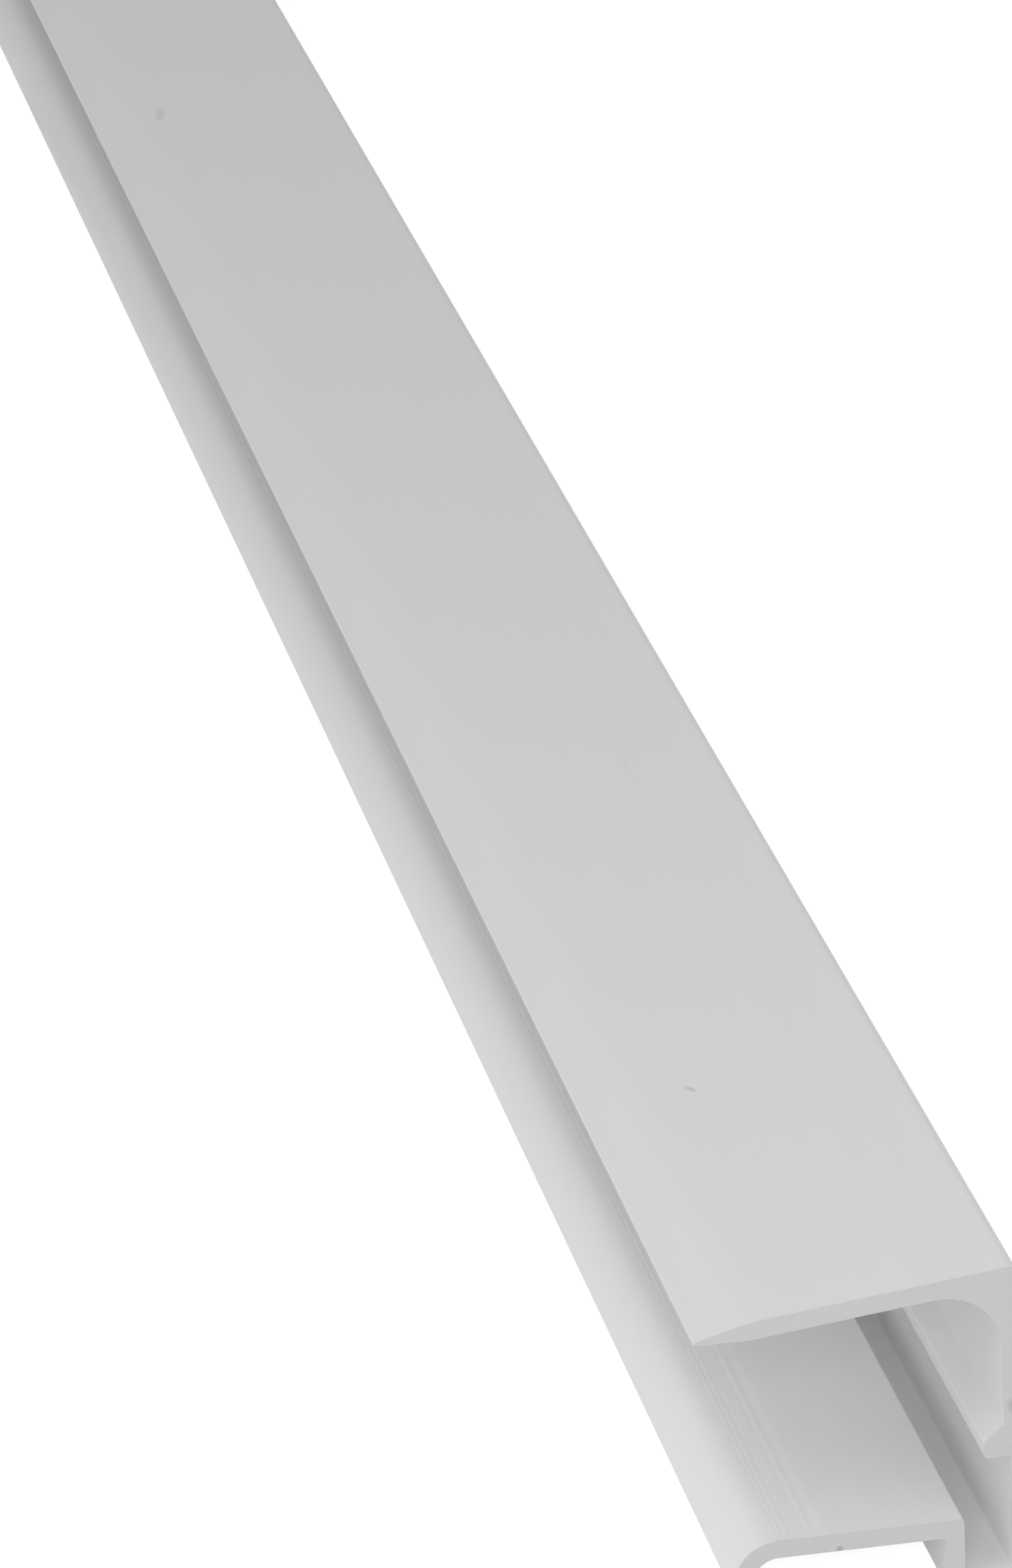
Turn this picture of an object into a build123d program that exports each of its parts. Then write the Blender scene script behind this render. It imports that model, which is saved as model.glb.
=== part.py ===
"""U-channel tile trim: one aluminium extrusion that closes the raw edge of a thick tile."""
from build123d import *
from math import asin, cos, degrees, radians, sin, tan
import os

os.makedirs("parts", exist_ok=True)

# Overall sizes
length = 1000.0
plate_width = 30.0
height = 31.8
wall = 1.7

# Top plate: it falls towards the mouth and thins to a soft tip
plate_fall = 6.3
tip_run = 5.2
tip_thickness = 0.25
tip_blend_radius = 14.0
plate_web_radius = 5.5
plate_corner_radius = 1.0

# Lower flange with its rolled lip
flange_height = 7.2
flange_width = 21.5
lip_radius = 4.3

# Web, the channel beside it and the snap-in barb
channel_width = 3.9
pocket_depth = 0.5
barb_reach = 1.9
barb_bottom = 13.0
barb_nose = 1.6
barb_ramp = 1.6

# Edge rounding left by the die
outer_edge_radius = 0.5
inner_edge_radius = 0.4
fine_edge_radius = 0.25
tip_edge_share = 0.45

# Where the members of the section lie
web_outer_x = plate_width / 2
web_inner_x = web_outer_x - wall
pocket_x = web_inner_x + pocket_depth
wall_right_x = web_inner_x - channel_width
wall_left_x = wall_right_x - wall
tip_x = -plate_width / 2
lip_x = wall_right_x - flange_width + lip_radius
lip_z = flange_height - lip_radius
middle_radius = lip_radius - wall / 2
barb_tip_x = web_inner_x - barb_reach

# The lip curls until its round end stands level with the underside of the channel
lip_curl = degrees(asin((lip_z - wall / 2) / middle_radius))
lip_end_x = lip_x - middle_radius * cos(radians(lip_curl))
lip_end_z = lip_z - middle_radius * sin(radians(lip_curl))


def plate_top(x):
    """Height of the plate's upper face at x."""
    return height - (web_outer_x - x) * tan(radians(plate_fall))


def plate_underside(x):
    """Height of the plate's lower face at x."""
    return plate_top(x) - wall / cos(radians(plate_fall))


tip_start_x = tip_x + tip_run
tip_underside = plate_underside(tip_start_x)


def corner(sketch, x, z):
    """The section's vertex nearest to a corner."""
    return sketch.vertices().sort_by_distance((x, z, 0))[0]


with BuildPart() as trim:
    with BuildSketch(Plane.XZ) as section:
        # Lip, flange, wall and floor are one strip of even thickness
        with BuildLine():
            CenterArc((lip_x, lip_z), middle_radius, 180 + lip_curl, -90 - lip_curl)
            Polyline(
                (lip_x, flange_height - wall / 2),
                (wall_right_x - wall / 2, flange_height - wall / 2),
                (wall_right_x - wall / 2, wall / 2),
                (web_outer_x, wall / 2),
            )
        trace(line_width=wall)
        with Locations((lip_end_x, lip_end_z)):
            Circle(wall / 2)

        # Web, thinner below the barb
        with Locations((web_outer_x, 0)):
            Rectangle(web_outer_x - pocket_x, plate_top(web_outer_x) - wall, align=(Align.MAX, Align.MIN))
        with Locations((web_outer_x, barb_bottom)):
            Rectangle(wall, height - wall - barb_bottom, align=(Align.MAX, Align.MIN))

        # Top plate
        with BuildLine():
            Polyline(
                (web_outer_x, plate_underside(web_outer_x)),
                (web_outer_x, height),
                (tip_start_x, plate_top(tip_start_x)),
                (tip_x, tip_underside + tip_thickness),
                (tip_x, tip_underside),
                (tip_start_x, tip_underside),
                close=True,
            )
        make_face()

        # Barb with a ramp above and a flat catch below
        with BuildLine():
            Polyline(
                (pocket_x, barb_bottom),
                (barb_tip_x, barb_bottom),
                (barb_tip_x, barb_bottom + barb_nose),
                (web_inner_x, barb_bottom + barb_nose + barb_ramp),
                (pocket_x, barb_bottom + barb_nose + barb_ramp),
                close=True,
            )
        make_face()

        # Rounded corners
        fillet(corner(section, web_inner_x, plate_underside(web_inner_x)), plate_web_radius)
        fillet(corner(section, tip_start_x, plate_top(tip_start_x)), tip_blend_radius)
        fillet(corner(section, web_outer_x, height), plate_corner_radius)
        fillet([corner(section, web_outer_x, 0), corner(section, wall_left_x, 0)], outer_edge_radius)
        fillet(
            [
                corner(section, wall_left_x, flange_height - wall),
                corner(section, wall_right_x, wall),
                corner(section, pocket_x, wall),
                corner(section, barb_tip_x, barb_bottom + barb_nose),
                corner(section, barb_tip_x, barb_bottom),
            ],
            inner_edge_radius,
        )
        fillet(corner(section, wall_right_x, flange_height), fine_edge_radius)
        fillet(
            [corner(section, tip_x, tip_underside), corner(section, tip_x, tip_underside + tip_thickness)],
            tip_thickness * tip_edge_share,
        )
    extrude(amount=length / 2, both=True)

trim.part.label = "u_channel_trim"
export_step(trim.part, "parts/u_channel_trim.step")
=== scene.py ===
"""Satin anodised U-channel tile trim on a pale floor, seen from above its open side."""
import math
from collections import namedtuple

import bpy
from mathutils import Matrix, Vector


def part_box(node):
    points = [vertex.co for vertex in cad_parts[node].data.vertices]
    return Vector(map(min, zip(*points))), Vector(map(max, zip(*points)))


NODE = "u_channel_trim"
MM = 0.001

# Camera: a long lens in front of the near end, turned towards the web and looking down.
# Its angles are in degrees, its distance and target in metres
LENS_MM = 210.95
SENSOR_MM = 36.0
SIGHT_AZIMUTH = 9.465
SIGHT_ELEVATION = 21.009
SIGHT_ROLL = -2.464
SIGHT_DISTANCE = 0.9485
SIGHT_TARGET = Vector((-0.00698, -0.3632, 0.0297))

# Light: a large lamp at the open side, a small one near the camera, a weak one at the web's side
# and a low one there for the plate's outer edge
WORLD_STRENGTH = 0.32
BOUNCES = 12
LAMP_AIM = Vector((0, -0.35, 0.02))
SIDE_PLACE = Vector((-0.7, -0.6, 0.65))
SIDE_SIZE = 1.1
SIDE_POWER = 4.95
FRONT_PLACE = Vector((-0.15, -1.3, 0.3))
FRONT_SIZE = 0.4
FRONT_POWER = 3.65
BACK_PLACE = Vector((0.5, -0.9, 0.5))
BACK_SIZE = 0.8
BACK_POWER = 1.5
EDGE_PLACE = Vector((0.9, -0.3, 0.17))
EDGE_SIZE = 0.3
EDGE_POWER = 1.0

# Floor
FLOOR_REACH = 6.0
FLOOR_COLOUR = (0.7, 0.7, 0.7)
FLOOR_GLOW = 0.72

# Anodised skin: broad blotches and a fine grain, both drawn out along the length
METAL_COLOUR = (0.80, 0.80, 0.805)
METAL_METALLIC = 0.15
METAL_ROUGHNESS = 0.5
METAL_SHEEN = 0.2
ROUGHNESS_SPREAD = 0.1
BROAD_SIZE = Vector((7.0, 420.0, 7.0)) * MM
BROAD_TONE = 0.035
FINE_SIZE = Vector((0.5, 260.0, 0.5)) * MM
FINE_TONE = 0.02
FINE_RELIEF = 0.002 * MM

# Faint die lines on the top of the flange, from the lip inwards
FLANGE_TOP = 7.2 * MM
FACE_MARGIN = 0.1 * MM
FACE_FADE = 0.5 * MM
LINES_START = -8.3 * MM
LINES_FULL = -7.6 * MM
LINES_END = -0.5 * MM
LINE_PITCH = 1.0 * MM
LINE_RELIEF = 0.14 * MM
LINE_TONE = 0.22

# Sawn ends. Their colour is a slightly warmer bare-metal tint with painted shade: much darker than
# the skin, so that the end faces stay duller than the top under the front lamp
CUT_TINT_AND_SHADE = (0.515, 0.509, 0.51)
CUT_DEPTH = 0.05 * MM
SAW_PITCH = 0.4 * MM
SAW_STRETCH = 40
SAW_TILT = math.radians(20)
SAW_TONE = 0.03
SAW_RELIEF = 0.004 * MM

# Marks as in the photo: sizes and places in millimetres, the turn about Z in degrees
Mark = namedtuple("Mark", "centre half_size turn darkening")
NICK = Mark((-4.5, -447.3, 29.6), (0.42, 1.35, 3.0), -28, 0.19)
SPOT = Mark((-6.75, -114.6, 29.4), (0.9, 4.2, 3.0), 8, 0.12)
HAIRLINE = Mark((5.42, -364.5, 30.7), (0.2, 11.0, 3.0), 0, 0.035)
DENT = Mark((-2.2, -500.0, 5.75), (0.5, 1.5, 0.35), 0, 0.3)
PIT = Mark((14.4, -500.0, 18.0), (1.15, 1.5, 1.05), 0, 0.2)
PLATE_MARKS = (NICK, SPOT, HAIRLINE)
END_MARKS = (DENT, PIT)
MARK_CORE = 0.25
NICK_RELIEF = 0.03 * MM


class Graph:
    """Adds shader nodes whose inputs are values or the outputs of earlier nodes."""

    def __init__(self, tree):
        self.tree = tree

    def add(self, kind, inputs=None, output=0, **settings):
        """One of the outputs of a new node."""
        node = self.tree.nodes.new(kind)
        for name, value in settings.items():
            setattr(node, name, value)
        for name, value in (inputs or {}).items():
            if isinstance(value, bpy.types.NodeSocket):
                self.tree.links.new(value, node.inputs[name])
            else:
                node.inputs[name].default_value = value
        return node.outputs[output]

    def math(self, operation, first, second=0.0, third=0.0):
        return self.add("ShaderNodeMath", {0: first, 1: second, 2: third}, operation=operation)

    def add_share(self, total, value, share):
        """The total plus a share of the value."""
        return self.math("MULTIPLY_ADD", value, share, total)

    def vector(self, operation, first, second):
        return self.add("ShaderNodeVectorMath", {0: first, 1: second}, operation=operation)

    def scaled(self, vector, factor):
        return self.add("ShaderNodeVectorMath", {0: vector, "Scale": factor}, operation="SCALE")

    def ramp(self, value, low, high, low_result=0.0, high_result=1.0):
        """A smooth change from one result to another as the value goes from low to high."""
        inputs = {
            "Value": value,
            "From Min": low,
            "From Max": high,
            "To Min": low_result,
            "To Max": high_result,
        }
        return self.add("ShaderNodeMapRange", inputs, interpolation_type="SMOOTHSTEP")

    def noise(self, position, size, detail=2.0):
        """Noise from about -0.5 to 0.5 whose blotches have the given size along each axis."""
        place = self.vector("DIVIDE", position, size)
        fac = self.add("ShaderNodeTexNoise", {"Vector": place, "Scale": 1.0, "Detail": detail})
        return self.math("SUBTRACT", fac, 0.5)

    def blob(self, position, mark):
        """1 in the middle of a mark's soft ellipsoid and 0 outside it."""
        offset = self.vector("SUBTRACT", position, Vector(mark.centre) * MM)
        turned = self.add(
            "ShaderNodeVectorRotate",
            {"Vector": offset, "Angle": math.radians(mark.turn)},
            rotation_type="Z_AXIS",
        )
        place = self.vector("DIVIDE", turned, Vector(mark.half_size) * MM)
        reach = self.add("ShaderNodeVectorMath", {0: place}, output="Value", operation="LENGTH")
        return self.ramp(reach, MARK_CORE, 1.0, 1.0, 0.0)

    def darkened(self, tone, position, marks):
        """The tone with each mark taken off it."""
        for mark in marks:
            tone = self.add_share(tone, self.blob(position, mark), -mark.darkening)
        return tone


def new_material(name):
    """An empty node material, its graph and its output node."""
    material = bpy.data.materials.new(name)
    material.use_nodes = True
    material.node_tree.nodes.clear()
    output = material.node_tree.nodes.new("ShaderNodeOutputMaterial")
    return material, Graph(material.node_tree), output


def die_lines(graph, x, z):
    """Faint lines that the die leaves along the flange beside the lip, from about -0.5 to 0.5."""
    fac = graph.add(
        "ShaderNodeTexNoise",
        {"W": graph.math("DIVIDE", x, LINE_PITCH), "Scale": 1.0, "Detail": 1.0},
        noise_dimensions="1D",
    )
    rise = graph.ramp(x, LINES_START, LINES_FULL)
    fade = graph.ramp(x, LINES_FULL, LINES_END, 1.0, 0.0)
    off_face = graph.math("ABSOLUTE", graph.math("SUBTRACT", z, FLANGE_TOP))
    on_face = graph.ramp(off_face, FACE_MARGIN, FACE_FADE, 1.0, 0.0)
    mask = graph.math("MULTIPLY", graph.math("MULTIPLY", rise, fade), on_face)
    return graph.math("MULTIPLY", graph.math("SUBTRACT", fac, 0.5), mask)


def saw_marks(graph, position):
    """Fine parallel marks across a sawn end, from about -0.5 to 0.5."""
    turned = graph.add(
        "ShaderNodeVectorRotate",
        {"Vector": position, "Angle": SAW_TILT},
        rotation_type="Y_AXIS",
    )
    return graph.noise(turned, Vector((SAW_STRETCH * SAW_PITCH, 1.0, SAW_PITCH)), detail=1.0)


def anodised_aluminium(half_length):
    """Satin skin with lines along the length, sawn ends darkened partly with painted shade, and a
    few small marks.
    """
    material, graph, output = new_material("anodised_aluminium")
    position = graph.add("ShaderNodeTexCoord", output="Object")
    parts = graph.add("ShaderNodeSeparateXYZ", {0: position}).node.outputs

    broad = graph.noise(position, BROAD_SIZE)
    fine = graph.noise(position, FINE_SIZE)
    lines = die_lines(graph, parts["X"], parts["Z"])
    saw = saw_marks(graph, position)
    from_middle = graph.math("ABSOLUTE", parts["Y"])
    cut = graph.ramp(from_middle, half_length - CUT_DEPTH, half_length - CUT_DEPTH / 2)

    tone = graph.add_share(1.0, broad, BROAD_TONE)
    tone = graph.add_share(tone, fine, FINE_TONE)
    tone = graph.add_share(tone, lines, LINE_TONE)
    tone = graph.darkened(tone, position, PLATE_MARKS)
    cut_tone = graph.darkened(graph.add_share(1.0, saw, SAW_TONE), position, END_MARKS)
    # The sawn ends take their own colour, which holds painted shade as well as the bare metal's
    # warmer tint
    colour = graph.add("ShaderNodeMix", data_type="VECTOR", output=1, inputs={
        "Factor": cut,
        "A": graph.scaled(METAL_COLOUR, tone),
        "B": graph.scaled(CUT_TINT_AND_SHADE, cut_tone),
    })

    unevenness = graph.math("ADD", broad, fine)
    roughness = graph.add_share(METAL_ROUGHNESS, unevenness, ROUGHNESS_SPREAD)

    height = graph.math("MULTIPLY", fine, FINE_RELIEF)
    height = graph.add_share(height, lines, LINE_RELIEF)
    height = graph.add_share(height, graph.blob(position, NICK), -NICK_RELIEF)
    height = graph.add_share(height, graph.math("MULTIPLY", saw, cut), SAW_RELIEF)
    normal = graph.add("ShaderNodeBump", {"Strength": 1.0, "Distance": 1.0, "Height": height})

    shader = graph.add("ShaderNodeBsdfPrincipled", {
        "Base Color": colour,
        "Metallic": METAL_METALLIC,
        "Specular IOR Level": METAL_SHEEN,
        "Roughness": roughness,
        "Normal": normal,
    })
    material.node_tree.links.new(shader, output.inputs["Surface"])
    return material


def seen_ray(graph):
    """A value that is 1 for camera, glossy and transmission rays, and 0 for light that bounces."""
    path = graph.add("ShaderNodeLightPath").node.outputs
    straight = graph.math("MAXIMUM", path["Is Camera Ray"], path["Is Glossy Ray"])
    return graph.math("MAXIMUM", straight, path["Is Transmission Ray"])


def floor_material():
    """White to the eye, with the object's shadow kept."""
    material, graph, output = new_material("floor")
    diffuse = graph.add("ShaderNodeBsdfDiffuse", {"Color": (*FLOOR_COLOUR, 1)})
    strength = graph.math("MULTIPLY", seen_ray(graph), FLOOR_GLOW)
    glow = graph.add("ShaderNodeEmission", {"Strength": strength})
    both = graph.add("ShaderNodeAddShader", {0: diffuse, 1: glow})
    material.node_tree.links.new(both, output.inputs["Surface"])
    return material


def make_floor():
    """A wide level square that belongs to the stage and not to the part."""
    mesh = bpy.data.meshes.new("floor")
    reach = FLOOR_REACH
    corners = [(-reach, -reach, 0), (reach, -reach, 0), (reach, reach, 0), (-reach, reach, 0)]
    mesh.from_pydata(corners, [], [(0, 1, 2, 3)])
    mesh.materials.append(floor_material())
    floor = bpy.data.objects.new("floor", mesh)
    bpy.context.scene.collection.objects.link(floor)


def make_world():
    """Even white surroundings: white to the eye and in reflections, softer as light."""
    world = bpy.data.worlds.new("studio")
    bpy.context.scene.world = world
    world.use_nodes = True
    world.node_tree.nodes.clear()
    graph = Graph(world.node_tree)
    output = world.node_tree.nodes.new("ShaderNodeOutputWorld")
    strength = graph.ramp(seen_ray(graph), 0.0, 1.0, WORLD_STRENGTH, 1.0)
    background = graph.add("ShaderNodeBackground", {"Strength": strength})
    world.node_tree.links.new(background, output.inputs["Surface"])


def make_lamp(name, place, size, power):
    """One soft square lamp aimed at the near half of the trim."""
    lamp = bpy.data.lights.new(name, "AREA")
    lamp.shape = "SQUARE"
    lamp.size = size
    lamp.energy = power
    holder = bpy.data.objects.new(name, lamp)
    holder.location = place
    holder.rotation_mode = "QUATERNION"
    holder.rotation_quaternion = (LAMP_AIM - place).to_track_quat("-Z", "Y")
    bpy.context.scene.collection.objects.link(holder)


def make_camera():
    """The photo's viewpoint, given by where it looks, from which side and how far."""
    azimuth = math.radians(SIGHT_AZIMUTH)
    elevation = math.radians(SIGHT_ELEVATION)
    forward = Vector((
        math.sin(azimuth) * math.cos(elevation),
        math.cos(azimuth) * math.cos(elevation),
        -math.sin(elevation),
    ))
    data = bpy.data.cameras.new("camera")
    data.lens = LENS_MM
    data.sensor_width = SENSOR_MM
    camera = bpy.data.objects.new("camera", data)
    turn = forward.to_track_quat("-Z", "Y").to_matrix().to_4x4()
    roll = Matrix.Rotation(math.radians(SIGHT_ROLL), 4, "Z")
    place = Matrix.Translation(SIGHT_TARGET - forward * SIGHT_DISTANCE)
    camera.matrix_world = place @ turn @ roll
    bpy.context.scene.collection.objects.link(camera)
    bpy.context.scene.camera = camera


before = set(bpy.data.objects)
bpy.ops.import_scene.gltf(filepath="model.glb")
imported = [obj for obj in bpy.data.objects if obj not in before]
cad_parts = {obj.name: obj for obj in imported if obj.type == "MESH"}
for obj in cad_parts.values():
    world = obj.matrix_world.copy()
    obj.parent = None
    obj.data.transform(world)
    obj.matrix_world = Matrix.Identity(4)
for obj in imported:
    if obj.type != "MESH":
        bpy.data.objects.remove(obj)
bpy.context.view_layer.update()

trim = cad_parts[NODE]
trim.data.materials.clear()
trim.data.materials.append(anodised_aluminium(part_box(NODE)[1].y))

make_floor()
make_world()
make_lamp("side", SIDE_PLACE, SIDE_SIZE, SIDE_POWER)
make_lamp("front", FRONT_PLACE, FRONT_SIZE, FRONT_POWER)
make_lamp("back", BACK_PLACE, BACK_SIZE, BACK_POWER)
make_lamp("edge", EDGE_PLACE, EDGE_SIZE, EDGE_POWER)
make_camera()
bpy.context.scene.view_settings.view_transform = "Standard"
bpy.context.scene.cycles.diffuse_bounces = BOUNCES
bpy.context.scene.cycles.glossy_bounces = BOUNCES
